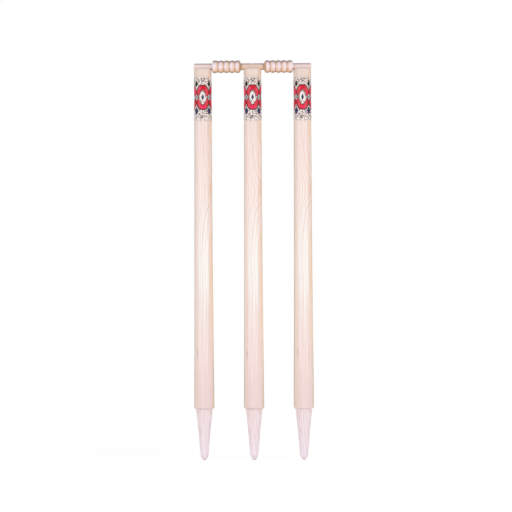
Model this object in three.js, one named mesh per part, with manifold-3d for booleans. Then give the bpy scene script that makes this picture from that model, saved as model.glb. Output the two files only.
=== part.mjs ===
// Cricket stumps: three turned ash stumps pushed into the turf, two turned bails that lie loose in the
// grooves across their crowns, and a printed band wrapped round the top of each stump.
// Lengths are in millimetres, with +Z up. The origin is on the middle stump's axis in the ground plane,
// where the shoulders rest. X runs along the wicket, and the face that the bowler sees looks along -Y.

import * as THREE from 'three';
import { mergeVertices } from 'three/addons/utils/BufferGeometryUtils.js';
import Module from 'manifold-3d';

// Wicket
const stumpPitch = 97;           // between the axes of neighbouring stumps

// Stump body
const bodyLength = 664;          // ground plane to the top of the crown
const topDiameter = 34;          // under the crown
const shoulderDiameter = 39.6;   // at the ground, where the body is thickest
const crownHeight = 10;
const shoulderRound = 1.2;       // eased edge at the foot of the body
const shoulderLedge = 1.9;       // width of the flat ring that rests on the ground

// Spike, the pointed length that stands in the ground
const spikeLength = 101;
const spikeFlare = 1.5;          // how far the spike widens where it meets the body
const spikeFlareLength = 10;
const spikeNoseDiameter = 16.8;  // where the rounded nose begins
const spikeNoseLength = 16;

// Bail
const bailAxisRise = 1.9;        // height of the bail's axis over the top of the crown
const spigotDiameter = 13;
const beadDiameter = 24.8;
const beadValleyDepth = 1.8;     // how deep the turned valleys between two beads are
const collarDiameter = 22.6;     // where the outer bead breaks into the neck
const neckLength = 1.8;          // cone from the outer bead down to the long spigot
const spigotInnerRound = 1;      // eased edge at the end over the middle stump
const spigotOuterRound = 3;      // rounder end over the outer stump
const bailEndGap = 1.2;          // between the two bails, over the middle stump
const bailOverhang = 0.7;        // how far the long spigot passes the outer stump
const barrelClearance = 6;       // between the barrel and the middle stump
const neckClearance = 0.5;       // between the neck and the outer stump
const grooveClearance = 0.35;    // between the spigot and the wall of the groove that holds it

// Printed band
const bandDrop = 6;              // from the base of the crown to the band
const bandHeight = 90;
const bandThickness = 0.25;
const bandGlueLine = 0.05;       // between the band and the wood
const bandSeam = 3;              // open seam at the back, where the two ends of the band nearly meet

// What the cutting tools run past the surfaces that they cut
const cutOverrun = 8;

// Form and fineness of the turned curves
const bodySwellPower = 1.9;      // 1 is a straight taper, more keeps the swelling near the ground
const crownPower = 3.4;          // 2 is an ellipse, more is squarer
const neckPower = 1.3;           // 1 is a straight cone, more hollows it
const beadCount = 5;
const stumpSides = 36;
const bailSides = 24;
const bodySteps = 9;
const crownSteps = 7;
const noseSteps = 5;
const flareSteps = 3;
const roundSteps = 3;
const shoulderSteps = 5;
const halfBeadSteps = 3;
const neckSteps = 3;

const stumpWood = { color: 0xecd6c6, roughness: 0.5, metalness: 0 };
const bailWood = { color: 0xdfb993, roughness: 0.45, metalness: 0 };
const bandFilm = { color: 0xd9294c, roughness: 0.4, metalness: 0 };

const topRadius = topDiameter / 2;
const shoulderRadius = shoulderDiameter / 2;
const crownBase = bodyLength - crownHeight;
const bandTop = crownBase - bandDrop;
const bandFoot = bandTop - bandHeight;
const bailHeight = bodyLength + bailAxisRise;

const wasm = await Module();
wasm.setup();

// A closed mesh with its shared vertices merged and the empty triangles at the axis left out
function closedMesh(geometry) {
  geometry.deleteAttribute('normal');
  geometry.deleteAttribute('uv');
  const merged = mergeVertices(geometry);
  const corners = merged.index.array;
  const kept = [];
  for (let i = 0; i < corners.length; i += 3) {
    const [a, b, c] = corners.slice(i, i + 3);
    if (a !== b && b !== c && c !== a) kept.push(a, b, c);
  }
  merged.setIndex(kept);
  return merged;
}

function toSolid(geometry) {
  const closed = closedMesh(geometry);
  return new wasm.Manifold(new wasm.Mesh({
    numProp: 3,
    vertProperties: Float32Array.from(closed.attributes.position.array),
    triVerts: Uint32Array.from(closed.index.array),
  }));
}

function toGeometry(solid) {
  const mesh = solid.getMesh();
  const geometry = new THREE.BufferGeometry();
  geometry.setAttribute('position', new THREE.BufferAttribute(mesh.vertProperties, mesh.numProp));
  geometry.setIndex(new THREE.BufferAttribute(mesh.triVerts, 1));
  return geometry;
}

function cut(geometry, cutter) {
  return toGeometry(toSolid(geometry).subtract(toSolid(cutter)));
}

// Turns a profile of [radius, height] points about Z
function turned(profile, sides) {
  const points = profile.map(([radius, height]) => new THREE.Vector2(radius, height));
  return new THREE.LatheGeometry(points, sides).rotateX(Math.PI / 2);
}

// Lays what was turned about Z along X instead, with its upper end towards +X
function laidAlongX(geometry) {
  return geometry.rotateY(Math.PI / 2);
}

// Evenly spaced steps from above 0 up to and including 1
function steps(count) {
  return Array.from({ length: count }, (_, i) => (i + 1) / count);
}

// Radius of the stump's body: a taper that swells towards the ground
function bodyRadius(height) {
  const share = (crownBase - height) / (crownBase - shoulderRound);
  return topRadius + (shoulderRadius - topRadius) * share ** bodySwellPower;
}

// Outline of one stump, from the tip of the spike to the top of the crown
function stumpProfile() {
  const noseRadius = spikeNoseDiameter / 2;
  const rootRadius = shoulderRadius - shoulderRound - shoulderLedge;
  const profile = [[0, -spikeLength]];
  for (const s of steps(noseSteps)) {
    const angle = s * Math.PI / 2;
    profile.push([noseRadius * Math.sin(angle), -spikeLength + spikeNoseLength * (1 - Math.cos(angle))]);
  }
  profile.push([rootRadius - spikeFlare, -spikeFlareLength]);
  for (const s of steps(flareSteps)) {
    profile.push([rootRadius - spikeFlare * (1 - s ** 2), -spikeFlareLength * (1 - s)]);
  }
  profile.push([rootRadius + shoulderLedge, 0]);
  for (const s of steps(roundSteps)) {
    const angle = s * Math.PI / 2;
    const radius = shoulderRadius - shoulderRound * (1 - Math.sin(angle));
    profile.push([radius, shoulderRound * (1 - Math.cos(angle))]);
  }
  for (const s of steps(bodySteps)) {
    const height = shoulderRound + (bandFoot - shoulderRound) * s;
    profile.push([bodyRadius(height), height]);
  }
  profile.push([bodyRadius(bandTop), bandTop]);
  profile.push([topRadius, crownBase]);
  for (const s of steps(crownSteps).slice(0, -1)) {
    const angle = s * Math.PI / 2;
    const radius = topRadius * Math.cos(angle) ** (2 / crownPower);
    profile.push([radius, crownBase + crownHeight * Math.sin(angle) ** (2 / crownPower)]);
  }
  profile.push([0, bodyLength]);
  return profile;
}

// Round groove across the crown, in which the spigots of the bails lie
function bailGroove() {
  const radius = spigotDiameter / 2 + grooveClearance;
  const length = topDiameter + 2 * cutOverrun;
  const groove = new THREE.CylinderGeometry(radius, radius, length, bailSides).rotateX(Math.PI / 2);
  return laidAlongX(groove).translate(0, 0, bailHeight);
}

function stumpGeometry() {
  return cut(turned(stumpProfile(), stumpSides), bailGroove());
}

// Thin printed band that follows the stump's taper, with its seam at the back
function bandGeometry() {
  const inner = bandGlueLine;
  const outer = bandGlueLine + bandThickness;
  const footRadius = bodyRadius(bandFoot);
  const headRadius = bodyRadius(bandTop);
  const ring = turned([
    [footRadius + inner, bandFoot],
    [footRadius + outer, bandFoot],
    [headRadius + outer, bandTop],
    [headRadius + inner, bandTop],
    [footRadius + inner, bandFoot],
  ], stumpSides);
  const seamDepth = shoulderRadius + cutOverrun;
  const seam = new THREE.BoxGeometry(bandSeam, seamDepth, bandHeight + 2 * cutOverrun);
  return cut(ring, seam.translate(0, seamDepth / 2, bandFoot + bandHeight / 2));
}

// Outline of one bail as [radius, distance from the middle stump's axis]: the short spigot over the
// middle stump, the barrel of beads, the neck, and the long spigot over the outer stump
function bailProfile() {
  const spigotRadius = spigotDiameter / 2;
  const beadRadius = beadDiameter / 2;
  const collarRadius = collarDiameter / 2;
  const innerEnd = bailEndGap / 2;
  const barrelStart = topRadius + barrelClearance;
  const neckEnd = stumpPitch - topRadius - neckClearance;
  const barrelEnd = neckEnd - neckLength;
  const outerEnd = stumpPitch + topRadius + bailOverhang;
  const halfBead = (barrelEnd - barrelStart) / (2 * beadCount);

  const profile = [[0, innerEnd], [spigotRadius - spigotInnerRound, innerEnd]];
  for (const s of steps(roundSteps)) {
    const angle = s * Math.PI / 2;
    const radius = spigotRadius - spigotInnerRound * (1 - Math.sin(angle));
    profile.push([radius, innerEnd + spigotInnerRound * (1 - Math.cos(angle))]);
  }
  profile.push([spigotRadius, barrelStart]);
  for (const s of steps(shoulderSteps)) {
    const angle = s * Math.PI / 2;
    const radius = spigotRadius + (beadRadius - spigotRadius) * Math.sin(angle);
    profile.push([radius, barrelStart + halfBead * (1 - Math.cos(angle))]);
  }
  for (let bead = 1; bead < beadCount; bead += 1) {
    const valley = barrelStart + 2 * halfBead * bead;
    for (const s of steps(halfBeadSteps)) {
      profile.push([beadRadius - beadValleyDepth * s ** 2, valley - halfBead * (1 - s)]);
    }
    for (const s of steps(halfBeadSteps)) {
      profile.push([beadRadius - beadValleyDepth * (1 - s) ** 2, valley + halfBead * s]);
    }
  }
  for (const s of steps(halfBeadSteps)) {
    profile.push([beadRadius - (beadRadius - collarRadius) * s ** 2, barrelEnd - halfBead * (1 - s)]);
  }
  for (const s of steps(neckSteps)) {
    const radius = spigotRadius + (collarRadius - spigotRadius) * (1 - s) ** neckPower;
    profile.push([radius, barrelEnd + neckLength * s]);
  }
  profile.push([spigotRadius, outerEnd - spigotOuterRound]);
  for (const s of steps(roundSteps)) {
    const angle = s * Math.PI / 2;
    const radius = spigotRadius - spigotOuterRound * (1 - Math.cos(angle));
    profile.push([radius, outerEnd - spigotOuterRound * (1 - Math.sin(angle))]);
  }
  profile.push([0, outerEnd]);
  return profile;
}

function bailGeometry() {
  return laidAlongX(closedMesh(turned(bailProfile(), bailSides)));
}

function piece(name, geometry, look) {
  const mesh = new THREE.Mesh(geometry, new THREE.MeshStandardMaterial(look));
  mesh.name = name;
  return mesh;
}

// One stump with its printed band, standing at a place along the wicket
function standingStump(side, place) {
  const group = new THREE.Group();
  group.add(piece(`${side}_stump`, stumpGeometry(), stumpWood));
  group.add(piece(`${side}_band`, bandGeometry(), bandFilm));
  group.position.x = place;
  return group;
}

// One bail, reaching from over the middle stump to the outer stump that the turn points it at
function lyingBail(side, turn) {
  const bail = piece(`${side}_bail`, bailGeometry(), bailWood);
  bail.position.z = bailHeight;
  bail.rotation.z = turn;
  return bail;
}

const wicket = new THREE.Group();
wicket.add(standingStump('left', -stumpPitch));
wicket.add(standingStump('middle', 0));
wicket.add(standingStump('right', stumpPitch));
wicket.add(lyingBail('left', Math.PI));
wicket.add(lyingBail('right', 0));

export default wicket;
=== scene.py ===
"""Cricket stumps: three turned ash stumps, two turned bails and a printed band round each stump."""

import math

import bmesh
import bpy
from mathutils import Matrix, Vector


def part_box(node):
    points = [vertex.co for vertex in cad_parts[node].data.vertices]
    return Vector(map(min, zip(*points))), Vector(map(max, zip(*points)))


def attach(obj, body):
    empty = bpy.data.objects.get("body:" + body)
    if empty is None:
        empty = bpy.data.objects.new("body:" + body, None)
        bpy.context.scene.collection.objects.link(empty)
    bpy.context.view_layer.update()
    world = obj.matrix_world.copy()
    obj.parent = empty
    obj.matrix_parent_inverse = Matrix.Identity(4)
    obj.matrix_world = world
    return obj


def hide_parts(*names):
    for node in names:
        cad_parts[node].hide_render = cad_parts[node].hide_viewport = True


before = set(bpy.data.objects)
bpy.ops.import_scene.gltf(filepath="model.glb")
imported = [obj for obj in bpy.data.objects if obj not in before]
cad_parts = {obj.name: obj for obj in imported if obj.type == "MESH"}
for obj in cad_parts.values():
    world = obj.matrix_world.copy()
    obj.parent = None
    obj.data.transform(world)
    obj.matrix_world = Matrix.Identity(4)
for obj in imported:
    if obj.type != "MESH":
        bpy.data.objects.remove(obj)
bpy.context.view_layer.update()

MM = 0.001

# Stump
TOP_RADIUS = 17 * MM
CROWN_HEIGHT = 10 * MM
CROWN_POWER = 3.4
BODY_LENGTH = 664 * MM
SWELL_POWER = 1.9
SHOULDER_ROUND = 1.2 * MM
SHOULDER_LEDGE = 1.9 * MM
ROOT_FILLET = 0.5 * MM
SPIKE_FLARE = 1.5 * MM
SPIKE_FLARE_LENGTH = 10 * MM
NOSE_RADIUS = 8.4 * MM
NOSE_LENGTH = 16 * MM
GROOVE_RADIUS = 6.85 * MM

# Eased lip of the groove: its width on each side of the edge, and the largest share that it may take of
# the way to the groove's floor or to the crown's rim
LIP_EASE = 0.9 * MM
LIP_EASE_SHARE = 0.4

# Bail
SPIGOT_RADIUS = 6.5 * MM
VALLEY_DEPTH = 1.8 * MM
VALLEY_SOFTNESS = 0.06
COLLAR_RADIUS = 11.3 * MM
NECK_LENGTH = 1.8 * MM
NECK_POWER = 1.3
INNER_END_ROUND = 1 * MM
OUTER_END_ROUND = 3 * MM
BARREL_CLEARANCE = 6 * MM
NECK_CLEARANCE = 0.5 * MM
END_CLOSER = 0.2 * MM
BEADS = 5

# Printed band
FILM_THICKNESS = 0.22 * MM
FILM_EDGE = 0.06 * MM
GLUE_LINE = 0.06 * MM
SEAM = 3 * MM

# Fineness of the meshes: sides round a piece, and steps along each stretch of its outline
STUMP_SIDES = 144
BAIL_SIDES = 112
BODY_ROW = 6 * MM
NOSE_STEPS = 14
SPIKE_STEPS = 16
FLARE_STEPS = 8
FILLET_STEPS = 3
LEDGE_STEPS = 3
SHOULDER_STEPS = 8
CROWN_STEPS = 14
LIP_STEPS = 6
LIP_HALVINGS = 40
GROOVE_STEPS = 10
END_FACE_STEPS = 6
END_ROUND_STEPS = 10
INNER_SPIGOT_STEPS = 12
FIRST_BEAD_STEPS = 20
VALLEY_STEPS = 16
LAST_BEAD_STEPS = 12
NECK_STEPS = 12
OUTER_SPIGOT_STEPS = 16
FILM_ROWS = 24
MERGE_DISTANCE = 0.0005 * MM

SIDES = ("left", "middle", "right")
BAIL_ENDS = ("left", "right")


def axis_of(node):
    """The X of a standing node's axis."""
    low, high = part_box(node)
    return (low.x + high.x) / 2


# Sizes and places from the frame, and what follows from them
STUMP_X = {side: axis_of(f"{side}_stump") for side in SIDES}
PITCH = STUMP_X["right"] - STUMP_X["middle"]
SHOULDER_RADIUS = (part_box("middle_stump")[1].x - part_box("middle_stump")[0].x) / 2
TIP_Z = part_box("middle_stump")[0].z
BAND_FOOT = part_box("middle_band")[0].z
BAND_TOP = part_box("middle_band")[1].z
BAIL_LOW, BAIL_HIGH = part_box("right_bail")
BAIL_Z = (BAIL_LOW.z + BAIL_HIGH.z) / 2
BEAD_RADIUS = (BAIL_HIGH.z - BAIL_LOW.z) / 2
CROWN_BASE = BODY_LENGTH - CROWN_HEIGHT

# Where a bail's barrel starts and ends, from the middle stump's axis
BARREL_START = TOP_RADIUS + BARREL_CLEARANCE
BARREL_END = PITCH - TOP_RADIUS - NECK_CLEARANCE - NECK_LENGTH


# Meshes
def shares(count):
    """Evenly spaced shares from above 0 up to and including 1."""
    return [(i + 1) / count for i in range(count)]


def quarter_turns(count):
    """Evenly spaced turns from above 0 up to and including a right angle."""
    return [s * math.pi / 2 for s in shares(count)]


def smooth_object(name, bm):
    """A smooth-shaded object of a finished bmesh, linked to the scene."""
    bmesh.ops.remove_doubles(bm, verts=bm.verts, dist=MERGE_DISTANCE)
    bmesh.ops.recalc_face_normals(bm, faces=bm.faces)
    mesh = bpy.data.meshes.new(name)
    bm.to_mesh(mesh)
    bm.free()
    mesh.polygons.foreach_set("use_smooth", [True] * len(mesh.polygons))
    piece = bpy.data.objects.new(name, mesh)
    bpy.context.scene.collection.objects.link(piece)
    return piece


def lofted(rows, closed_ring=True):
    """A bmesh over rows of points. A row of one point closes it there, and an open ring leaves a seam."""
    bm = bmesh.new()
    made = [[bm.verts.new(point) for point in row] for row in rows]
    for low, high in zip(made, made[1:]):
        count = max(len(low), len(high))
        for i in range(count if closed_ring else count - 1):
            j = (i + 1) % count
            corners = [low[i % len(low)], low[j % len(low)], high[j % len(high)], high[i % len(high)]]
            bm.faces.new(list(dict.fromkeys(corners)))
    return bm


def ring(radius, height, sides):
    """A level ring of points, or the one point of a ring without a radius."""
    if radius == 0:
        return [Vector((0, 0, height))]
    turns = [2 * math.pi * i / sides for i in range(sides)]
    return [Vector((radius * math.cos(t), radius * math.sin(t), height)) for t in turns]


def body_radius(height):
    """The radius of a stump's body, which swells from the crown down to the shoulder."""
    share = (CROWN_BASE - height) / (CROWN_BASE - SHOULDER_ROUND)
    return TOP_RADIUS + (SHOULDER_RADIUS - TOP_RADIUS) * share**SWELL_POWER


def stump_outline():
    """[radius, height] from the tip of the spike to the base of the crown."""
    root = SHOULDER_RADIUS - SHOULDER_ROUND - SHOULDER_LEDGE
    neck = root - SPIKE_FLARE
    nose_end = TIP_Z + NOSE_LENGTH
    outline = [(0, TIP_Z)]
    for turn in quarter_turns(NOSE_STEPS):
        outline.append((NOSE_RADIUS * math.sin(turn), TIP_Z + NOSE_LENGTH * (1 - math.cos(turn))))
    for s in shares(SPIKE_STEPS):
        height = nose_end + (-SPIKE_FLARE_LENGTH - nose_end) * s
        outline.append((NOSE_RADIUS + (neck - NOSE_RADIUS) * s, height))
    for s in shares(FLARE_STEPS):
        height = -SPIKE_FLARE_LENGTH * (1 - s) - ROOT_FILLET * s
        outline.append((root - SPIKE_FLARE * (1 - s**2), height))
    for turn in quarter_turns(FILLET_STEPS):
        outline.append((root + ROOT_FILLET * (1 - math.cos(turn)), -ROOT_FILLET * (1 - math.sin(turn))))
    for s in shares(LEDGE_STEPS):
        outline.append((root + ROOT_FILLET + (SHOULDER_LEDGE - ROOT_FILLET) * s, 0))
    for turn in quarter_turns(SHOULDER_STEPS):
        radius = SHOULDER_RADIUS - SHOULDER_ROUND * (1 - math.sin(turn))
        outline.append((radius, SHOULDER_ROUND * (1 - math.cos(turn))))
    rows = round((CROWN_BASE - SHOULDER_ROUND) / BODY_ROW)
    for s in shares(rows):
        height = SHOULDER_ROUND + (CROWN_BASE - SHOULDER_ROUND) * s
        outline.append((body_radius(height), height))
    return outline


def crown_point(rise, turn):
    """A point of the domed crown: rise 0 is its rim and a quarter turn its top."""
    radius = TOP_RADIUS * math.cos(rise) ** (2 / CROWN_POWER)
    height = CROWN_BASE + CROWN_HEIGHT * math.sin(rise) ** (2 / CROWN_POWER)
    return Vector((radius * math.cos(turn), radius * math.sin(turn), height))


def crown_height(x, y):
    share = min(1, math.hypot(x, y) / TOP_RADIUS)
    return CROWN_BASE + CROWN_HEIGHT * (1 - share**CROWN_POWER) ** (1 / CROWN_POWER)


def groove_end():
    """How far from the axis the groove's floor runs out through the crown."""
    depth = (BAIL_Z - GROOVE_RADIUS - CROWN_BASE) / CROWN_HEIGHT
    return TOP_RADIUS * (1 - depth**CROWN_POWER) ** (1 / CROWN_POWER)


def lip_y(x):
    """Half the width of the groove's mouth at a place along it."""
    low, high = 0, GROOVE_RADIUS
    for _ in range(LIP_HALVINGS):
        y = (low + high) / 2
        if crown_height(x, y) > BAIL_Z - math.sqrt(GROOVE_RADIUS**2 - y**2):
            low = y
        else:
            high = y
    return low


def crown_column(i, end):
    """One column of the crown, from its rim in to the groove's lip, round the lip and down to the floor."""
    turn = 2 * math.pi * i / STUMP_SIDES
    x = end * math.cos(turn)
    side = math.copysign(1, math.sin(turn))
    at_end = i % (STUMP_SIDES // 2) == 0
    y = 0 if at_end else lip_y(x)
    lip = Vector((x, side * y, BAIL_Z - math.sqrt(GROOVE_RADIUS**2 - y**2)))
    rise = math.acos(min(1, math.hypot(x, y) / TOP_RADIUS) ** (CROWN_POWER / 2))
    swing = math.remainder(math.atan2(side * y, x) - turn, 2 * math.pi)
    reach = (crown_point(0, turn) - lip).length
    lean = math.asin(y / GROOVE_RADIUS)
    ease = min(LIP_EASE, LIP_EASE_SHARE * lean * GROOVE_RADIUS, LIP_EASE_SHARE * reach)
    kept = 1 - ease / reach
    inner = lean - ease / GROOVE_RADIUS

    def groove_point(angle):
        height = BAIL_Z - GROOVE_RADIUS * math.cos(angle)
        return Vector((x, side * GROOVE_RADIUS * math.sin(angle), height))

    column = [crown_point(rise * s * kept, turn + swing * s * kept) for s in shares(CROWN_STEPS)]
    outer_edge, inner_edge = column[-1], groove_point(inner)
    for s in shares(LIP_STEPS):
        column.append(outer_edge.lerp(lip, s).lerp(lip.lerp(inner_edge, s), s))
    column += [groove_point(inner * (1 - s)) for s in shares(GROOVE_STEPS)]
    return column


def stump_mesh(name):
    rows = [ring(radius, height, STUMP_SIDES) for radius, height in stump_outline()]
    end = groove_end()
    columns = [crown_column(i, end) for i in range(STUMP_SIDES)]
    rows += [list(row) for row in zip(*columns)]
    return smooth_object(name, lofted(rows))


def bead_radius(s):
    """The radius of the barrel beside a valley: s is 0 in the valley and 1 at the top of the bead."""
    soft = math.sqrt(s**2 + VALLEY_SOFTNESS**2) - VALLEY_SOFTNESS
    return BEAD_RADIUS - VALLEY_DEPTH * (1 - soft) ** 2


def bail_outline():
    """[radius, distance from the middle stump's axis] of a bail, from its inner end to its outer end."""
    inner_end, outer_end = BAIL_LOW.x - END_CLOSER, BAIL_HIGH.x
    neck_end = BARREL_END + NECK_LENGTH
    half_bead = (BARREL_END - BARREL_START) / (2 * BEADS)
    outline = [(0, inner_end)]
    outline += [((SPIGOT_RADIUS - INNER_END_ROUND) * s, inner_end) for s in shares(END_FACE_STEPS)]
    for turn in quarter_turns(END_ROUND_STEPS):
        radius = SPIGOT_RADIUS - INNER_END_ROUND * (1 - math.sin(turn))
        outline.append((radius, inner_end + INNER_END_ROUND * (1 - math.cos(turn))))
    start = inner_end + INNER_END_ROUND
    outline += [(SPIGOT_RADIUS, start + (BARREL_START - start) * s) for s in shares(INNER_SPIGOT_STEPS)]
    for turn in quarter_turns(FIRST_BEAD_STEPS):
        radius = SPIGOT_RADIUS + (BEAD_RADIUS - SPIGOT_RADIUS) * math.sin(turn)
        outline.append((radius, BARREL_START + half_bead * (1 - math.cos(turn))))
    for i in range(1, BEADS):
        valley = BARREL_START + 2 * half_bead * i
        outline += [(bead_radius(1 - s), valley - half_bead * (1 - s)) for s in shares(VALLEY_STEPS)]
        outline += [(bead_radius(s), valley + half_bead * s) for s in shares(VALLEY_STEPS)]
    for s in shares(LAST_BEAD_STEPS):
        radius = BEAD_RADIUS - (BEAD_RADIUS - COLLAR_RADIUS) * s**2
        outline.append((radius, BARREL_END - half_bead * (1 - s)))
    for s in shares(NECK_STEPS):
        radius = SPIGOT_RADIUS + (COLLAR_RADIUS - SPIGOT_RADIUS) * (1 - s) ** NECK_POWER
        outline.append((radius, BARREL_END + NECK_LENGTH * s))
    stop = outer_end - OUTER_END_ROUND
    outline += [(SPIGOT_RADIUS, neck_end + (stop - neck_end) * s) for s in shares(OUTER_SPIGOT_STEPS)]
    for turn in quarter_turns(END_ROUND_STEPS):
        radius = SPIGOT_RADIUS - OUTER_END_ROUND * (1 - math.cos(turn))
        outline.append((radius, stop + OUTER_END_ROUND * math.sin(turn)))
    outline += [((SPIGOT_RADIUS - OUTER_END_ROUND) * (1 - s), outer_end) for s in shares(END_FACE_STEPS)]
    return outline


def bail_mesh(name):
    """A bail that stands upright. add_bail lays it down."""
    rows = [ring(radius, along, BAIL_SIDES) for radius, along in bail_outline()]
    return smooth_object(name, lofted(rows))


def film_mesh(name):
    """A thin wrap with eased edges and an open seam at the back, closed along both sides of the seam."""
    gap = SEAM / TOP_RADIUS
    start, sweep = math.pi / 2 + gap / 2, 2 * math.pi - gap
    turns = [start + sweep * i / STUMP_SIDES for i in range(STUMP_SIDES + 1)]

    def row(lift, height):
        radius = body_radius(height) + GLUE_LINE + lift
        return [Vector((radius * math.cos(t), radius * math.sin(t), height)) for t in turns]

    low, high = BAND_FOOT + FILM_EDGE, BAND_TOP - FILM_EDGE
    rows = [row(0, low), row(FILM_THICKNESS - FILM_EDGE, BAND_FOOT)]
    rows += [row(FILM_THICKNESS, low + (high - low) * s) for s in [0] + shares(FILM_ROWS)]
    rows += [row(FILM_THICKNESS - FILM_EDGE, BAND_TOP), row(0, high)]
    rows += [row(0, high + (low - high) * s) for s in shares(FILM_ROWS)]
    bm = lofted(rows, closed_ring=False)
    bmesh.ops.remove_doubles(bm, verts=bm.verts, dist=MERGE_DISTANCE)
    bmesh.ops.holes_fill(bm, edges=[e for e in bm.edges if e.is_boundary])
    return smooth_object(name, bm)


# Colours and nodes
def srgb(red, green, blue):
    """A colour as a photo editor gives it, from 0 to 255, as Blender's linear colour."""
    linear = []
    for level in (red, green, blue):
        c = level / 255
        linear.append(c / 12.92 if c <= 0.04045 else ((c + 0.055) / 1.055) ** 2.4)
    return (*linear, 1)


# The sockets of a Mix node that a mix of colours uses
MIX_SHARE, MIX_A, MIX_B = 0, 6, 7
MIX_RESULT = 2


class Tree:
    """Short names for adding and linking the nodes of one material, or of the world."""

    def __init__(self, material):
        material.use_nodes = True
        self.tree = material.node_tree
        self.tree.nodes.clear()

    def add(self, kind, inputs=None, output=0, **settings):
        """Adds a node and returns one of its outputs, or the node itself where output is None."""
        node = self.tree.nodes.new(kind)
        for key, value in settings.items():
            setattr(node, key, value)
        for key, value in (inputs or {}).items():
            if isinstance(value, bpy.types.NodeSocket):
                self.tree.links.new(value, node.inputs[key])
            else:
                node.inputs[key].default_value = value
        return node.outputs[output] if output is not None else node

    def math(self, operation, *values):
        return self.add("ShaderNodeMath", dict(enumerate(values)), operation=operation)

    def times(self, product, *factors):
        for factor in factors:
            product = self.math("MULTIPLY", product, factor)
        return product

    def scaled(self, vector, x, y, z):
        return self.add("ShaderNodeVectorMath", {0: vector, 1: (x, y, z)}, operation="MULTIPLY")

    def length(self, vector):
        return self.add("ShaderNodeVectorMath", {0: vector}, "Value", operation="LENGTH")

    def split(self, vector):
        node = self.add("ShaderNodeSeparateXYZ", {0: vector}, None)
        return node.outputs[0], node.outputs[1], node.outputs[2]

    def join(self, x, y, z):
        return self.add("ShaderNodeCombineXYZ", {0: x, 1: y, 2: z})

    def noise(self, vector, scale, detail, roughness=0.5):
        values = {"Vector": vector, "Scale": scale, "Detail": detail, "Roughness": roughness}
        return self.add("ShaderNodeTexNoise", values)

    def steps(self, value, low, high, out_low=0, out_high=1, kind="SMOOTHSTEP"):
        """Goes from out_low to out_high while value goes from low to high, which may also fall."""
        values = {"Value": value, "From Min": low, "From Max": high, "To Min": out_low, "To Max": out_high}
        return self.add("ShaderNodeMapRange", values, interpolation_type=kind)

    def hill(self, value, low, middle, high):
        """Goes from 0 up to 1 at middle and down to 0 again."""
        return self.times(self.steps(value, low, middle), self.steps(value, middle, high, 1, 0))

    def mix(self, share, a, b):
        inputs = {MIX_SHARE: share, MIX_A: a, MIX_B: b}
        return self.add("ShaderNodeMix", inputs, MIX_RESULT, data_type="RGBA")

    def tinted(self, colour, values, tints):
        """Lays tints over a colour: what each follows, where it starts and is full, its share and paint."""
        for follows, start, full, share, paint in tints:
            colour = self.mix(self.steps(values[follows], start, full, 0, share), colour, paint)
        return colour

    def stored(self, name):
        return self.add("ShaderNodeAttribute", output="Vector", attribute_name=name)

    def stored_in_millimetres(self, name):
        return self.scaled(self.stored(name), 1 / MM, 1 / MM, 1 / MM)

    def seen(self):
        """1 where the picture shows it, also in gloss or through glass, and 0 where it only gives light."""
        path = self.add("ShaderNodeLightPath", output=None)
        direct = self.math("MAXIMUM", path.outputs["Is Camera Ray"], path.outputs["Is Glossy Ray"])
        return self.math("MAXIMUM", direct, path.outputs["Is Transmission Ray"])

    def surface(self, shader):
        self.add("ShaderNodeOutputMaterial", {"Surface": shader}, None)


# Colours of both woods
PALE = srgb(255, 255, 252)
ROSY = srgb(232, 208, 211)
STREAK = srgb(235, 209, 201)
HONEY = srgb(236, 204, 179)
PORE = srgb(176, 146, 128)

# Grain of ash, in millimetres. A noise is its stretch along the grain, its scale, detail and roughness.
# A fade is where it starts and is full, and then its share at each where these aren't 0 and 1
BEND_NOISE = (0.22, 0.028, 1, 0.5)
WAVE_NOISE = (0.03, 0.5, 2, 0.5)
STREAK_NOISE = (0.016, 0.4, 3, 0.65)
FIBRE_NOISE = (0.025, 2.4, 3, 0.65)
PORE_NOISE = (0.07, 3.6, 1, 0.5)
NOISE_MEAN = 0.5
WAVE_DEPTH = 0.5
RING_START = (0, 0.08)
RING_END = (0.08, 0.5, 1, 0)
RING_BOLDNESS = (0, 1, 0.45, 1)
PORE_LEVELS = (0.62, 0.74)
PORES_IN_RINGS = (0, 1, 0.25, 1)

# Places up a stump where its rings swell sideways: foot, middle and head, and how far
STUMP_SWELLS = ((300, 425, 552, -8), (372, 420, 470, -6))

# Rings: how far apart they are, where their middle lies from the piece's axis and how it leans for each
# millimetre along, and how far they sway
STUMP_RINGS = {"spacing": 4.6, "pith": (-74, 34), "tilt": (0.004, 0.006), "sway": 6, "swells": STUMP_SWELLS}
BAIL_RINGS = {"spacing": 2.6, "pith": (8, 60), "tilt": (0.02, 0.01), "sway": 4}

# Finish of the wood and the film. A face that points along the piece by END_FACES takes the tint of end
# grain, and the fibres move the roughness from SMOOTHER below its value to ROUGHER above it
STUMP_FINISH = {"roughness": 0.45, "coat": 0.06, "end_tint": 0.12}
BAIL_FINISH = {"roughness": 0.42, "coat": 0.06, "end_tint": 0.35}
FILM_FINISH = {"roughness": 0.4, "coat": 0.1, "end_tint": 0}
END_FACES = (0.75, 1)
FIBRE_RELIEF = 0.4
RELIEF_DEPTH = 0.03 * MM
FIBRE_LEVELS = (0.3, 0.7)
SMOOTHER = 0.05
ROUGHER = 0.06
COAT_ROUGHNESS = 0.3
WOOD_IOR = 1.45
SPECULAR = 0.25


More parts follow.
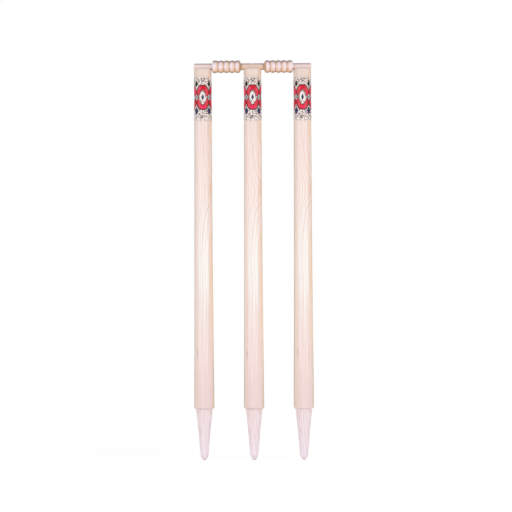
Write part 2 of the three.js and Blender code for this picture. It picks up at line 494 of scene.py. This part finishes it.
def ash_grain(t, spacing, pith, tilt, sway, swells=()):
    """Rings, streaks, fibres and pores of turned ash, with the grain along the Z of the wood."""
    place = t.stored_in_millimetres("wood_place")
    x, y, z = t.split(place)

    def along_grain(stretch, scale, detail, roughness):
        return t.noise(t.scaled(place, 1, 1, stretch), scale, detail, roughness)

    bend = t.times(t.math("SUBTRACT", along_grain(*BEND_NOISE), NOISE_MEAN), sway)
    off_x = t.math("SUBTRACT", x, t.math("MULTIPLY_ADD", z, tilt[0], pith[0]))
    off_y = t.math("SUBTRACT", y, t.math("MULTIPLY_ADD", z, tilt[1], pith[1]))
    across = t.math("ADD", t.times(off_x, off_x), t.times(off_y, off_y))
    radius = t.math("ADD", t.math("SQRT", across), bend)
    for foot, middle, head, push in swells:
        radius = t.math("MULTIPLY_ADD", t.hill(z, foot, middle, head), push, radius)
    radius = t.math("ADD", radius, t.times(along_grain(*WAVE_NOISE), WAVE_DEPTH))
    count = t.math("DIVIDE", radius, spacing)
    phase = t.math("FRACT", count)
    chance = t.add("ShaderNodeTexWhiteNoise", {"W": t.math("FLOOR", count)}, noise_dimensions="1D")
    ring = t.times(t.steps(phase, *RING_START), t.steps(phase, *RING_END))
    ring = t.times(ring, t.steps(chance, *RING_BOLDNESS, "LINEAR"))
    pore = t.times(t.steps(along_grain(*PORE_NOISE), *PORE_LEVELS), t.steps(ring, *PORES_IN_RINGS))
    return {"x": x, "y": y, "z": z, "ring": ring, "pore": pore,
            "streak": along_grain(*STREAK_NOISE), "fibre": along_grain(*FIBRE_NOISE)}


def finish_wood(t, colour, grain, roughness, coat, end_tint):
    """Darkens the end grain and adds the relief and gloss of oiled wood."""
    _, _, end = t.split(t.stored("facing"))
    colour = t.mix(t.steps(t.math("ABSOLUTE", end), *END_FACES, 0, end_tint), colour, HONEY)
    relief = t.math("MULTIPLY_ADD", grain["fibre"], FIBRE_RELIEF, t.times(grain["pore"], -1))
    bump = t.add("ShaderNodeBump", {"Strength": 1.0, "Distance": RELIEF_DEPTH, "Height": relief})
    rough = t.steps(grain["fibre"], *FIBRE_LEVELS, roughness - SMOOTHER, roughness + ROUGHER)
    values = {"Base Color": colour, "Roughness": rough, "Normal": bump, "Coat Weight": coat,
              "Coat Roughness": COAT_ROUGHNESS, "IOR": WOOD_IOR, "Specular IOR Level": SPECULAR}
    t.surface(t.add("ShaderNodeBsdfPrincipled", values))


def wood_material(name, rings, finish, colour_of):
    """A material whose colour comes from its grain by the function colour_of."""
    material = bpy.data.materials.new(name)
    t = Tree(material)
    grain = ash_grain(t, **rings)
    finish_wood(t, colour_of(t, grain), grain, **finish)
    return material


# Colours of the stump: its body, from the foot up, with painted highlights on its front, its sides and
# marks, where the amber is partly painted warm light and the ashen edges are painted shade, and its spike
BLUSH = srgb(254, 231, 230)
CREAM = srgb(255, 247, 243)
HEAD = srgb(237, 227, 222)
CROWN = srgb(235, 214, 203)
AMBER = srgb(255, 220, 184)
ASHEN = srgb(188, 184, 170)
OCHRE = srgb(234, 190, 152)
MINERAL = srgb(176, 158, 164)
MAUVE = srgb(255, 240, 249)
LILAC = srgb(255, 240, 255)

# Where the stump's colours lie. Heights are in millimetres above the ground, and a hill is where it
# starts, is full and ends. Sides go from -1, which faces left, to 1, which faces right, and flanks from
# 0 in the middle to 1 on either side
# Painted highlight: cream down the front of the body, full at mid height and weaker on the flanks
CREAM_HIGHLIGHT_HILL = (40, 295, 595)
CREAM_HIGHLIGHT_FLANKS = (0.4, 0.85, 1, 0.3)
STUMP_TINTS = (
    ("height", 95, 15, 0.28, ROSY),
    ("height", 480, 620, 0.6, HEAD),
    ("height", 590, 640, 0.7, CROWN),
    # Painted light on the top of the crown, which offsets the shadow of the spigots there
    ("height", 652, 660, 0.25, PALE),
    ("height", 3, -16, 1, MAUVE),
    ("streak", 0.42, 0.72, 0.65, STREAK),
)
# Painted highlight: a pale stripe, frayed by the streaks, down the front of the body about its middle
HIGHLIGHT_STRIPE_HILL = (130, 275, 410)
HIGHLIGHT_STRIPE_FLANKS = (0.35, 0.85, 1, 0)
HIGHLIGHT_STRIPE_STREAKS = (0.36, 0.58, 0.95, 0.4)
RING_SHARES = (250, 450, 0.62, 0.82)

# How far the streaks fray the edges of what follows the sides
RAGGEDNESS = 0.25

# Amber sides, partly the wood's own tone and partly painted warm light from the right: where they start
# above the spike and weaken further up, how much later the right one starts near the foot and round the
# middle, and where they lie on either side
BODY_FOOT = (-12, 0)
AMBER_HEAD = (340, 400, 1, 0.5)
AMBER_LATE_FOOT = (190, 60, 0, 0.22)
AMBER_MIDDLE = (325, 368, 408)
AMBER_LATE_MIDDLE = 0.18
AMBER_RIGHT = (0.36, 0.93, 0, 0.66)
AMBER_LEFT = (-0.45, -0.85, 0, 0.2)

# Ashen edges, painted shade on the stump's flanks: how strong the right one is above and below the middle,
# where they lie on either side, and how little of them is left on the spike
ASHEN_ABOVE = (250, 420, 0.3, 0.8)
ASHEN_BELOW = (180, 80, 0, 0.8)
ASHEN_RIGHT = (0.86, 0.98)
ASHEN_LEFT = (-0.86, -0.96, 0, 0.85)
ASHEN_ON_SPIKE = (-12, 0, 0.3, 1)

# Marks on the right: a tan stretch just below the print, and the knot that the rings swell round
TAN_HILL = (500, 545, 620)
TAN_SIDE = (0.6, 0.9, 0, 0.6)
KNOT_HILL = (398, 426, 454)
KNOT_SIDE = (0.52, 0.86, 0, 0.5)

# A mineral fleck on the front, in millimetres across, up and towards the back
FLECK_ACROSS = (-13.6, -12, -10.6)
FLECK_HILL = (88, 110, 118)
FLECK_FRONT = (-4, -8, 0, 0.65)

# Fibres and pores all over, painted light in mauve at the root of the spike, which offsets the shadow under
# the shoulder, and its lilac tip
STUMP_FIBRES = (0.45, 0.75, 0, 0.34)
STUMP_PORE_SHARE = 0.35
ROOT_LIGHT_HILL = (-10, -3, 2)
ROOT_LIGHT_SHARE = 0.4
TIP_FADE = (-30, -95, 0, 0.6)


def stump_sides(t, colour, z, side):
    """Amber sides, partly painted warm light, and ashen edges of painted shade, which are stronger on the
    right.
    """
    late = t.math("SUBTRACT", side, t.steps(z, *AMBER_LATE_FOOT))
    late = t.math("MULTIPLY_ADD", t.hill(z, *AMBER_MIDDLE), -AMBER_LATE_MIDDLE, late)
    amber = t.math("ADD", t.steps(late, *AMBER_RIGHT), t.steps(side, *AMBER_LEFT))
    body = t.times(t.steps(z, *BODY_FOOT), t.steps(z, *AMBER_HEAD))
    # Amber on the sides, partly painted warm light
    colour = t.mix(t.times(body, amber), colour, AMBER)
    strength = t.math("MAXIMUM", t.steps(z, *ASHEN_ABOVE), t.steps(z, *ASHEN_BELOW))
    right = t.times(t.steps(side, *ASHEN_RIGHT), strength)
    ashen = t.math("ADD", t.steps(side, *ASHEN_LEFT), right)
    # Ashen painted shade on the edges
    return t.mix(t.times(ashen, t.steps(z, *ASHEN_ON_SPIKE)), colour, ASHEN)


def stump_wood_colour(t, grain):
    """Pale ash with painted highlights down the front, amber sides partly of painted warm light, ashen
    edges of painted shade, a knot, a fleck and a mauve spike with painted light at its root.
    """
    z, streak = grain["z"], grain["streak"]
    aside, _, _ = t.split(t.stored("facing"))
    flank = t.math("ABSOLUTE", aside)
    # Painted highlight in cream down the front
    colour = t.mix(t.times(t.hill(z, *CREAM_HIGHLIGHT_HILL), t.steps(flank, *CREAM_HIGHLIGHT_FLANKS)), BLUSH, CREAM)
    colour = t.tinted(colour, {"height": z, "streak": streak}, STUMP_TINTS)
    # Painted highlight stripe in pale
    highlight_stripe = t.times(t.hill(z, *HIGHLIGHT_STRIPE_HILL), t.steps(flank, *HIGHLIGHT_STRIPE_FLANKS))
    colour = t.mix(t.times(highlight_stripe, t.steps(streak, *HIGHLIGHT_STRIPE_STREAKS)), colour, PALE)
    colour = t.mix(t.times(grain["ring"], t.steps(z, *RING_SHARES)), colour, HONEY)
    side = t.math("MULTIPLY_ADD", t.math("SUBTRACT", streak, NOISE_MEAN), RAGGEDNESS, aside)
    colour = stump_sides(t, colour, z, side)
    colour = t.mix(t.times(t.hill(z, *TAN_HILL), t.steps(side, *TAN_SIDE)), colour, AMBER)
    colour = t.mix(t.times(t.hill(z, *KNOT_HILL), t.steps(side, *KNOT_SIDE)), colour, OCHRE)
    fleck = t.times(t.hill(grain["x"], *FLECK_ACROSS), t.hill(z, *FLECK_HILL))
    colour = t.mix(t.times(fleck, t.steps(grain["y"], *FLECK_FRONT)), colour, MINERAL)
    colour = t.mix(t.steps(grain["fibre"], *STUMP_FIBRES), colour, STREAK)
    colour = t.mix(t.times(grain["pore"], STUMP_PORE_SHARE), colour, PORE)
    # Painted light at the root of the spike, against the shoulder's shadow
    colour = t.mix(t.times(t.hill(z, *ROOT_LIGHT_HILL), ROOT_LIGHT_SHARE), colour, MAUVE)
    return t.mix(t.steps(z, *TIP_FADE), colour, LILAC)


# Colours of a bail: its beads and its spigots, and the painted shade on its underside, at its neck, in its
# valleys and on its top
MILKY = srgb(247, 236, 250)
PEARL = srgb(242, 224, 226)
SAND = srgb(232, 198, 176)
BUFF = srgb(214, 180, 154)
UNDERSIDE_SHADE = srgb(250, 208, 170)
BOTTOM_EDGE_SHADE = srgb(158, 100, 64)
UMBER = srgb(128, 84, 58)
TAN = srgb(236, 196, 158)
SHADE_BROWN = srgb(186, 138, 104)
DUSK = srgb(136, 106, 98)

# Where a bail's colours lie: along it from the middle stump's axis, by how far a place faces down or
# outward, from -1 to 1, and by how deep it lies in a valley, from 0 to 1
BAIL_STREAKS = (0.4, 0.72, 0, 0.5)
BAIL_RING_SHARE = 0.22
BAIL_PORE_SHARE = 0.3
INNER_SPIGOT = (BARREL_START + 1.5 * MM, BARREL_START - 0.5 * MM)
OUTER_SPIGOT = (BARREL_END - 0.7 * MM, BARREL_END + 3.3 * MM)
# Painted shade: buff on the inner spigot, pearl on the top half, a warm tone underneath and a dark brown
# bottom edge. The rosy outer spigot is the wood's own tone
BAIL_TINTS = (
    ("along", BARREL_START + 3 * MM, BARREL_START - 4 * MM, 0.7, BUFF),
    ("along", *OUTER_SPIGOT, 0.6, ROSY),
    ("down", 0, -0.5, 0.6, PEARL),
    ("down", 0.04, 0.7, 0.7, UNDERSIDE_SHADE),
    ("down", 0.68, 0.93, 0.92, BOTTOM_EDGE_SHADE),
)

# Umber painted shade where the barrel starts, and painted shadow below the neck
BARREL_FOOT = (BARREL_START - 4.2 * MM, BARREL_START, BARREL_START + 4.7 * MM)
NECK_HILL = (BARREL_END - 1.2 * MM, BARREL_END + 1.3 * MM, BARREL_END + 3.8 * MM)
NECK_BELOW = (0.1, 0.6, 0, 0.9)

# Painted shade on faces turned back to the middle stump, and the fibres
BAIL_PAINTED_SHADE_AND_FIBRES = (
    ("outward", 0.12, -0.3, 0.64, TAN),
    ("outward", -0.3, -0.9, 0.8, SHADE_BROWN),
    ("fibre", 0.45, 0.8, 0.2, STREAK),
)

# Painted shade in the valleys, which is darker above and below than at the front, and painted shade on the
# tops
VALLEY_FADE = (0.45, 1)
VALLEY_ROUND = (0, 0.6, 0.5, 0.8)
SPIGOT_TOP = (-0.4, -0.72, 0, 0.58)
BARREL_TOP = (-0.46, -0.82)
BARREL_TOP_VALLEYS = (0, 0.8, 0.75, 1)


def bail_wood_colour(t, grain):
    """Milky ash with painted shade on top, underneath, in the valleys and beside the barrel."""
    down, _, outward = t.split(t.stored("facing"))
    valley, along, _ = t.split(t.stored("wear"))
    values = {"along": along, "down": down, "outward": outward, "fibre": grain["fibre"]}
    colour = t.mix(t.steps(grain["streak"], *BAIL_STREAKS), MILKY, PEARL)
    colour = t.mix(t.times(grain["ring"], BAIL_RING_SHARE), colour, SAND)
    colour = t.tinted(colour, values, BAIL_TINTS)
    # Painted shade where the barrel starts, and painted shadow under the neck
    colour = t.mix(t.hill(along, *BARREL_FOOT), colour, UMBER)
    colour = t.mix(t.times(t.hill(along, *NECK_HILL), t.steps(down, *NECK_BELOW)), colour, UMBER)
    # Painted shade on faces turned back to the middle stump
    colour = t.tinted(colour, values, BAIL_PAINTED_SHADE_AND_FIBRES)
    colour = t.mix(t.times(grain["pore"], BAIL_PORE_SHARE), colour, PORE)
    # Painted shade in the valleys
    valley_shade = t.times(t.steps(valley, *VALLEY_FADE), t.steps(t.math("ABSOLUTE", down), *VALLEY_ROUND))
    colour = t.mix(valley_shade, colour, SHADE_BROWN)
    # Painted shade on the tops of the spigots and the barrel
    spigot = t.math("MAXIMUM", t.steps(along, *OUTER_SPIGOT), t.steps(along, *INNER_SPIGOT))
    barrel_top = t.times(t.steps(down, *BARREL_TOP), t.steps(valley, *BARREL_TOP_VALLEYS))
    top = t.mix(spigot, barrel_top, t.steps(down, *SPIGOT_TOP))
    return t.mix(top, colour, DUSK)


# Print. Lengths round and up the band are in millimetres, and up starts at the foot of the band. WRAP is
# the way round it, and SOFT the width over which an edge of the motif fades
RED = srgb(208, 8, 40)
ROSE_RED = srgb(240, 50, 92)
INK = srgb(12, 8, 12)
NAVY = srgb(52, 50, 86)
FLECK = srgb(44, 34, 34)
CHALK = srgb(252, 242, 240)
WRAP = 2 * math.pi * TOP_RADIUS / MM
SOFT = 0.3

# Ribbons: how often each swings round the stump, about which height and how far, their turn round it, the
# half width of the red and the width of its outline, and how softly they change places on top
WAVES = 2
MOTIF_MIDDLE = 47.5
MOTIF_SWING = 19.2
MOTIF_TURN = WRAP / (4 * WAVES)
STROKE = 3.7
OUTLINE = 1.4
CROSSING = 0.02

# Patches of the print: the layer of the noise, its scale, and where they start and are full
SHINE = (4, 0.11, 0.42, 0.72)
CHALK_CLOUDS = (7, 0.14, 0.35, 0.6)
CRACK_BREAKS = (3, 0.4, 0.44, 0.52)
PATCH_DETAIL = 2

# Crackled ground: cells, lines between them, and where it fades in at the foot and out at the head
CELL_SCALE = 0.26
CELL_HEIGHT_SHARE = 0.85
CRACK_WIDTH = (0.09, 0.2, 1, 0)
CHALK_SHARE = 0.8
CRACK_SHARE = 0.9
GROUND_FOOT = (0.5, 5)
GROUND_HEAD = (83, 89, 1, 0)

# Lozenges under and over the ribbons: paint, shift round in shares of their pitch, height, and half the
# width and height of each
LOZENGES = 2 * WAVES
LOZENGE_OUTSET = 7
LOW_ROW = MOTIF_MIDDLE - MOTIF_SWING - LOZENGE_OUTSET
HIGH_ROW = MOTIF_MIDDLE + MOTIF_SWING + LOZENGE_OUTSET
UNDER_RIBBONS = (
    (NAVY, 0, LOW_ROW, 5, 8),
    (INK, 0, HIGH_ROW, 3.6, 6.5),
    (CHALK, 0.5, MOTIF_MIDDLE, 5, 11),
    (NAVY, 0.5, MOTIF_MIDDLE, 2.6, 6.5),
)
OVER_RIBBONS = (
    (INK, 0, MOTIF_MIDDLE, 4.6, 8),
    (CHALK, 0, MOTIF_MIDDLE, 3.2, 5.8),
    (NAVY, 0, MOTIF_MIDDLE, 1.8, 3.6),
)


def print_patches(t, around, up, layer, scale, start, full):
    return t.steps(t.noise(t.join(around, up, layer), scale, PATCH_DETAIL), start, full)


def print_ground(t, colour, around, up):
    """Chalky clouds and fine broken cracks over the wood."""
    cell = t.join(around, t.times(up, CELL_HEIGHT_SHARE), 0)
    edge = t.add("ShaderNodeTexVoronoi", {"Vector": cell, "Scale": CELL_SCALE, "Randomness": 1},
                 feature="DISTANCE_TO_EDGE")
    fade = t.times(t.steps(up, *GROUND_FOOT), t.steps(up, *GROUND_HEAD))
    cloud = print_patches(t, around, up, *CHALK_CLOUDS)
    broken = print_patches(t, around, up, *CRACK_BREAKS)
    colour = t.mix(t.times(cloud, fade, CHALK_SHARE), colour, CHALK)
    return t.mix(t.times(t.steps(edge, *CRACK_WIDTH), broken, fade, CRACK_SHARE), colour, FLECK)


def print_lozenges(t, colour, around, up, lozenges):
    for paint, shift, height, half_width, half_height in lozenges:
        part = t.math("FRACT", t.math("MULTIPLY_ADD", around, LOZENGES / WRAP, shift + 0.5))
        sideways = t.math("ABSOLUTE", t.times(t.math("SUBTRACT", part, 0.5), WRAP / LOZENGES))
        upright = t.math("ABSOLUTE", t.math("SUBTRACT", up, height))
        sideways = t.math("DIVIDE", sideways, half_width)
        reach = t.math("ADD", sideways, t.math("DIVIDE", upright, half_height))
        colour = t.mix(t.steps(reach, 1, 1 + SOFT / half_width, 1, 0), colour, paint)
    return colour


def print_ribbons(t, colour, around, up):
    """Two red ribbons with a dark outline, twisted round the stump, that pass over each other in turn."""
    angle_per_length = 2 * math.pi * WAVES / WRAP
    angle = t.times(around, angle_per_length)
    level = t.math("SUBTRACT", up, MOTIF_MIDDLE)
    wave = t.times(t.math("SINE", angle), MOTIF_SWING)
    slope = t.times(t.math("COSINE", angle), MOTIF_SWING * angle_per_length)
    steep = t.math("SQRT", t.math("MULTIPLY_ADD", slope, slope, 1))
    red = t.mix(print_patches(t, around, up, *SHINE), RED, ROSE_RED)

    def ribbon(colour, side):
        off = t.math("ABSOLUTE", t.math("MULTIPLY_ADD", wave, side, level))
        off = t.math("DIVIDE", off, steep)
        colour = t.mix(t.steps(off, STROKE + OUTLINE, STROKE + OUTLINE + SOFT, 1, 0), colour, INK)
        return t.mix(t.steps(off, STROKE, STROKE + SOFT, 1, 0), colour, red)

    second_on_top = ribbon(ribbon(colour, 1), -1)
    first_on_top = ribbon(ribbon(colour, -1), 1)
    return t.mix(t.steps(t.math("COSINE", angle), -CROSSING, CROSSING), second_on_top, first_on_top)


def print_colour(t, grain):
    """The print on the wood: ribbons, lozenges in their notches and on their crossings, crackled ground."""
    around, up, _ = t.split(t.stored_in_millimetres("print_place"))
    around = t.math("ADD", around, MOTIF_TURN)
    colour = print_ground(t, stump_wood_colour(t, grain), around, up)
    colour = print_lozenges(t, colour, around, up, UNDER_RIBBONS)
    colour = print_ribbons(t, colour, around, up)
    return print_lozenges(t, colour, around, up, OVER_RIBBONS)


# Pieces. How each one's grain is turned about its axis, in degrees, and moved along it, in millimetres
BAIL_GRAIN = {"left": (20, 400), "right": (-35, 1300)}
STUMP_GRAIN = {"left": (0, 0), "middle": (3, 2), "right": (-3, -2)}


def store(piece, name, values):
    """Keeps one vector for each point of a piece, for its materials to read."""
    attribute = piece.data.attributes.new(name, "FLOAT_VECTOR", "POINT")
    attribute.data.foreach_set("vector", [n for value in values for n in value])


def place_wood(piece, turn, shift, valley=lambda v: 0):
    """Stores each point's place in the grain, which way it faces, how deep in a valley it lies and how
    far along the piece. It comes before the piece is moved from its own axis."""
    spin = Matrix.Rotation(math.radians(turn), 3, "Z")
    store(piece, "wood_place", [spin @ v.co + Vector((0, 0, shift * MM)) for v in piece.data.vertices])
    store(piece, "facing", [v.normal for v in piece.data.vertices])
    store(piece, "wear", [(valley(v), v.co.z, 0) for v in piece.data.vertices])


def add_stump(side):
    piece = stump_mesh(f"{side}_stump_wood")
    place_wood(piece, *STUMP_GRAIN[side])
    piece.data.transform(Matrix.Translation((STUMP_X[side], 0, 0)))
    ash = wood_material(f"{side}_stump_ash", STUMP_RINGS, STUMP_FINISH, stump_wood_colour)
    piece.data.materials.append(ash)
    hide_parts(f"{side}_stump")
    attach(piece, f"{side}_stump")


def add_film(side):
    piece = film_mesh(f"{side}_band_film")
    place_wood(piece, *STUMP_GRAIN[side])
    spots = []
    for v in piece.data.vertices:
        turn = math.remainder(math.atan2(v.co.y, v.co.x) + math.pi / 2, 2 * math.pi)
        spots.append((turn * TOP_RADIUS, v.co.z - BAND_FOOT, 0))
    store(piece, "print_place", spots)
    piece.data.transform(Matrix.Translation((STUMP_X[side], 0, 0)))
    film = wood_material(f"{side}_band_print", STUMP_RINGS, FILM_FINISH, print_colour)
    piece.data.materials.append(film)
    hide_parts(f"{side}_band")
    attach(piece, f"{side}_stump")


def add_bail(side):
    piece = bail_mesh(f"{side}_bail_wood")

    def valley(v):
        if not BARREL_START < v.co.z < BARREL_END:
            return 0
        return min(1, (BEAD_RADIUS - math.hypot(v.co.x, v.co.y)) / VALLEY_DEPTH)

    place_wood(piece, *BAIL_GRAIN[side], valley)
    lay = Matrix.Translation((0, 0, BAIL_Z)) @ Matrix.Rotation(math.pi / 2, 4, "Y")
    if side == "left":
        lay = Matrix.Rotation(math.pi, 4, "Z") @ lay
    piece.data.transform(lay)
    ash = wood_material(f"{side}_bail_ash", BAIL_RINGS, BAIL_FINISH, bail_wood_colour)
    piece.data.materials.append(ash)
    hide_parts(f"{side}_bail")
    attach(piece, f"{side}_bail")


for side in SIDES:
    add_stump(side)
    add_film(side)
for side in BAIL_ENDS:
    add_bail(side)


# Floor. It keeps the object's shadow out to SHADOW_NEAR and is plain white from SHADOW_FAR on. FLOOR_WHITE
# is the strength of its white near the object, where that white is mixed with the shaded grey
FLOOR_SIZE = 24
FLOOR_GREY = 0.72
FLOOR_WHITE = 1.42
SHADOW_SHARE = 0.5
SHADOW_NEAR = 0.35
SHADOW_FAR = 1.4

# World. Light from the walls turns into light from the ceiling between WALL_TOP and CEILING_FOOT, where 1
# is straight up. Dark cards on both sides leave CARD_SHARE of it, from CARD_FULL out, where 1 is straight
# aside
WALL_LIGHT = 0.44
CEILING_LIGHT = 0.58
WALL_TOP = 0.35
CEILING_FOOT = 0.8
CARD_EDGE = 0.88
CARD_FULL = 0.99
CARD_SHARE = 0.1

# Lamps: name, place, width and height, watts, colour, and whether it shows in gloss
WHITE = (1, 1, 1)
LAMP_AIM = (0, 0, 0.3)
LAMPS = (
    ("key", (-1.7, -1.5, 0.68), (0.9, 0.6), 18.6, WHITE, True),
    ("fill", (1.72, -1.48, 0.68), (0.9, 0.6), 19.1, (1, 0.98, 0.96), True),
    ("back", (0.4, 2.4, 0.7), (1.6, 1.2), 22, WHITE, False),
)


def add_floor():
    """A pale floor that fades into the white around it, and keeps the shadow near the object."""
    bpy.ops.mesh.primitive_plane_add(size=FLOOR_SIZE, location=(0, 0, TIP_Z))
    floor = bpy.context.object
    floor.name = "studio_floor"
    material = bpy.data.materials.new("pale_floor")
    t = Tree(material)
    away = t.length(t.add("ShaderNodeTexCoord", output="Object"))
    share = t.times(t.seen(), t.steps(away, SHADOW_NEAR, SHADOW_FAR, 1 - SHADOW_SHARE, 1))
    strength = t.steps(away, SHADOW_NEAR, SHADOW_FAR, FLOOR_WHITE, 1)
    grey = t.add("ShaderNodeBsdfDiffuse", {"Color": (FLOOR_GREY, FLOOR_GREY, FLOOR_GREY, 1)})
    white = t.add("ShaderNodeEmission", {"Color": (*WHITE, 1), "Strength": strength})
    t.surface(t.add("ShaderNodeMixShader", {0: share, 1: grey, 2: white}))
    floor.data.materials.append(material)


def add_world():
    """White wherever it is seen, and a soft light that is weaker from dark cards on both sides."""
    world = bpy.data.worlds.new("studio")
    bpy.context.scene.world = world
    t = Tree(world)
    aside, _, up = t.split(t.add("ShaderNodeTexCoord", output="Generated"))
    level = t.steps(up, WALL_TOP, CEILING_FOOT, WALL_LIGHT, CEILING_LIGHT)
    carded = t.steps(t.math("ABSOLUTE", aside), CARD_EDGE, CARD_FULL, 1, CARD_SHARE)
    light = t.add("ShaderNodeBackground", {"Color": (*WHITE, 1), "Strength": t.times(level, carded)})
    white = t.add("ShaderNodeBackground", {"Color": (*WHITE, 1), "Strength": 1.0})
    mixed = t.add("ShaderNodeMixShader", {0: t.seen(), 1: light, 2: white})
    t.add("ShaderNodeOutputWorld", {"Surface": mixed}, None)


def add_lamp(name, place, size, watts, colour, in_gloss):
    lamp = bpy.data.lights.new(name, "AREA")
    lamp.shape = "RECTANGLE"
    lamp.size, lamp.size_y = size
    lamp.energy = watts
    lamp.color = colour
    holder = bpy.data.objects.new(name, lamp)
    holder.location = place
    holder.rotation_euler = (Vector(LAMP_AIM) - Vector(place)).to_track_quat("-Z", "Y").to_euler()
    holder.visible_camera = False
    holder.visible_glossy = in_gloss
    bpy.context.scene.collection.objects.link(holder)


# Camera: pixels of the photo that fix its framing, and the size of one of them on the object
PHOTO_SIDE = 512
MM_PER_PIXEL = 1.95
GROUND_ROW = 408.1
MIDDLE_COLUMN = 253.4
CAMERA_DISTANCE = 5
CAMERA_ROLL = math.radians(0.28)
SENSOR_WIDTH = 36


def add_camera():
    """A level camera in front of the stumps, turned a little about its own line of sight."""
    scale = MM_PER_PIXEL * MM
    data = bpy.data.cameras.new("camera")
    data.sensor_width = SENSOR_WIDTH
    data.lens = SENSOR_WIDTH * CAMERA_DISTANCE / (PHOTO_SIDE * scale)
    camera = bpy.data.objects.new("camera", data)
    x = (PHOTO_SIDE / 2 - MIDDLE_COLUMN) * scale
    z = (GROUND_ROW - PHOTO_SIDE / 2) * scale
    camera.location = (x, -CAMERA_DISTANCE, z)
    camera.rotation_euler = (math.pi / 2, CAMERA_ROLL, 0)
    bpy.context.scene.collection.objects.link(camera)
    bpy.context.scene.camera = camera


add_floor()
add_world()
for lamp in LAMPS:
    add_lamp(*lamp)
add_camera()
bpy.context.scene.view_settings.view_transform = "Standard"
